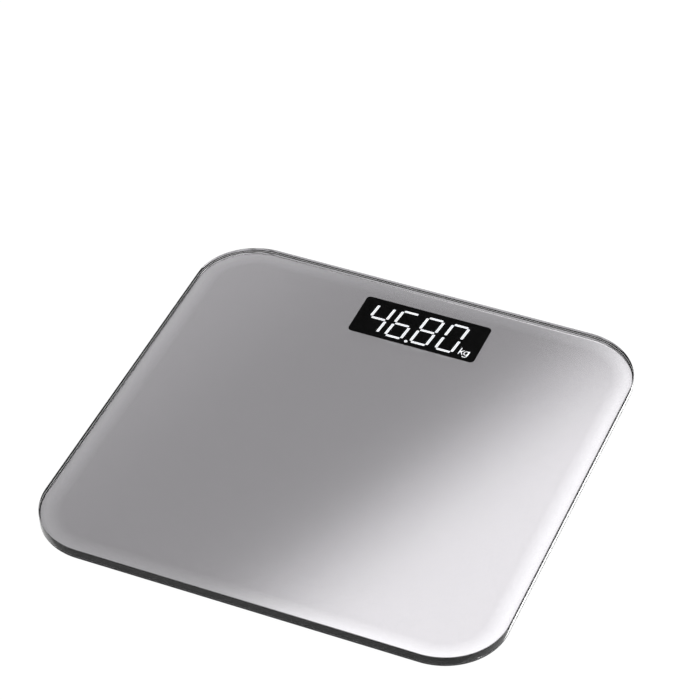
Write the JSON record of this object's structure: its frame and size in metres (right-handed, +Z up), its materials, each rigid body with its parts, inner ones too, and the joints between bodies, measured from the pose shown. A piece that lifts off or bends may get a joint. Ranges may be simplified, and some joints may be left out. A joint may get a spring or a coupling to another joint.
{
  "type": "digital bathroom scale",
  "caption": "Square low bathroom scale: clear glass platform with silver back coat, lit digital readout, load-cell feet, unit button and battery door underneath.",
  "frame": {"origin": "on the floor, under the middle of the platform", "axes": "+Z up, +Y towards the readout end, +X to the right of someone reading it"},
  "size_m": [0.26, 0.26, 0.024],
  "materials": {
    "glass": "clear polished, tempered",
    "silver_coat": "satin metallic lacquer",
    "smoked_filter": "smoked gloss",
    "casing_abs": "fine moulded texture",
    "bond": "matt foam tape",
    "foam": "matt foam",
    "led_case": "satin black",
    "light_guide": "frosted white, lit",
    "board": "solder mask, satin",
    "chip": "moulded epoxy",
    "switch_body": "moulded",
    "switch_stem": "moulded",
    "button": "satin",
    "load_cell_steel": "stamped, nickel plated",
    "zinc_screw": "zinc plated",
    "nickel_contact": "nickel plated",
    "gauge": "silicone potting",
    "cell_mount": "natural moulded",
    "foot_plastic": "satin moulded",
    "foot_rubber": "matt, moulded",
    "battery_jacket": "printed jacket, blank",
    "lead_grey": "PVC insulation",
    "lead_red": "PVC insulation",
    "lead_black": "PVC insulation",
    "label": "blank satin film"
  },
  "bodies": {
    "scale_body": {"glass_platform": "glass", "silver_back_coat": "silver_coat", "readout_filter": "smoked_filter", "edge_bond": "bond", "base_casing": "casing_abs", "blank_rating_label": "label", "cell_mount_front_left": "cell_mount", "cell_lead_front_left": "lead_grey", "cell_mount_front_right": "cell_mount", "cell_lead_front_right": "lead_grey", "cell_mount_back_left": "cell_mount", "cell_lead_back_left": "lead_grey", "cell_mount_back_right": "cell_mount", "cell_lead_back_right": "lead_grey", "control_board": "board", "controller_chip": "chip", "board_screw_1": "zinc_screw", "board_screw_2": "zinc_screw", "board_screw_3": "zinc_screw", "board_screw_4": "zinc_screw", "led_case": "led_case", "segment_light_guide": "light_guide", "readout_gasket": "foam", "unit_switch": "switch_body", "battery_1": "battery_jacket", "battery_2": "battery_jacket", "battery_3": "battery_jacket", "contact_positive": "nickel_contact", "contact_negative": "nickel_contact", "contact_link_left": "nickel_contact", "contact_link_right": "nickel_contact", "battery_lead_red": "lead_red", "battery_lead_black": "lead_black"},
    "foot_front_left_unit": {"foot_pad_front_left": "foot_rubber", "foot_front_left": "foot_plastic", "foot_screw_front_left": "zinc_screw", "load_cell_front_left": "load_cell_steel", "strain_gauge_front_left": "gauge"},
    "foot_front_right_unit": {"foot_pad_front_right": "foot_rubber", "foot_front_right": "foot_plastic", "foot_screw_front_right": "zinc_screw", "load_cell_front_right": "load_cell_steel", "strain_gauge_front_right": "gauge"},
    "foot_back_left_unit": {"foot_pad_back_left": "foot_rubber", "foot_back_left": "foot_plastic", "foot_screw_back_left": "zinc_screw", "load_cell_back_left": "load_cell_steel", "strain_gauge_back_left": "gauge"},
    "foot_back_right_unit": {"foot_pad_back_right": "foot_rubber", "foot_back_right": "foot_plastic", "foot_screw_back_right": "zinc_screw", "load_cell_back_right": "load_cell_steel", "strain_gauge_back_right": "gauge"},
    "unit_button_unit": {"unit_button": "button", "unit_switch_stem": "switch_stem"},
    "battery_door_unit": {"battery_door": "casing_abs"}
  },
  "joints": [
    {"name": "battery_door_hinge", "type": "hinge", "parent": "scale_body", "child": "battery_door_unit", "pos_m": [0, 0.0196, 0.004], "axis": [-1, 0, 0], "range_deg": [0, 95]},
    {"name": "unit_button_press", "type": "slide", "parent": "scale_body", "child": "unit_button_unit", "axis": [0, 0, 1], "range_m": [0, 0.0005], "stiffness_N_per_m": 300, "springref_m": -0.001},
    {"name": "foot_front_left_travel", "type": "slide", "parent": "scale_body", "child": "foot_front_left_unit", "axis": [0, 0, 1], "range_m": [0, 0.0004], "stiffness_N_per_m": 10000, "springref_m": -0.0008},
    {"name": "foot_front_right_travel", "type": "slide", "parent": "scale_body", "child": "foot_front_right_unit", "axis": [0, 0, 1], "range_m": [0, 0.0004], "stiffness_N_per_m": 10000, "springref_m": -0.0008},
    {"name": "foot_back_left_travel", "type": "slide", "parent": "scale_body", "child": "foot_back_left_unit", "axis": [0, 0, 1], "range_m": [0, 0.0004], "stiffness_N_per_m": 10000, "springref_m": -0.0008},
    {"name": "foot_back_right_travel", "type": "slide", "parent": "scale_body", "child": "foot_back_right_unit", "axis": [0, 0, 1], "range_m": [0, 0.0004], "stiffness_N_per_m": 10000, "springref_m": -0.0008}
  ]
}
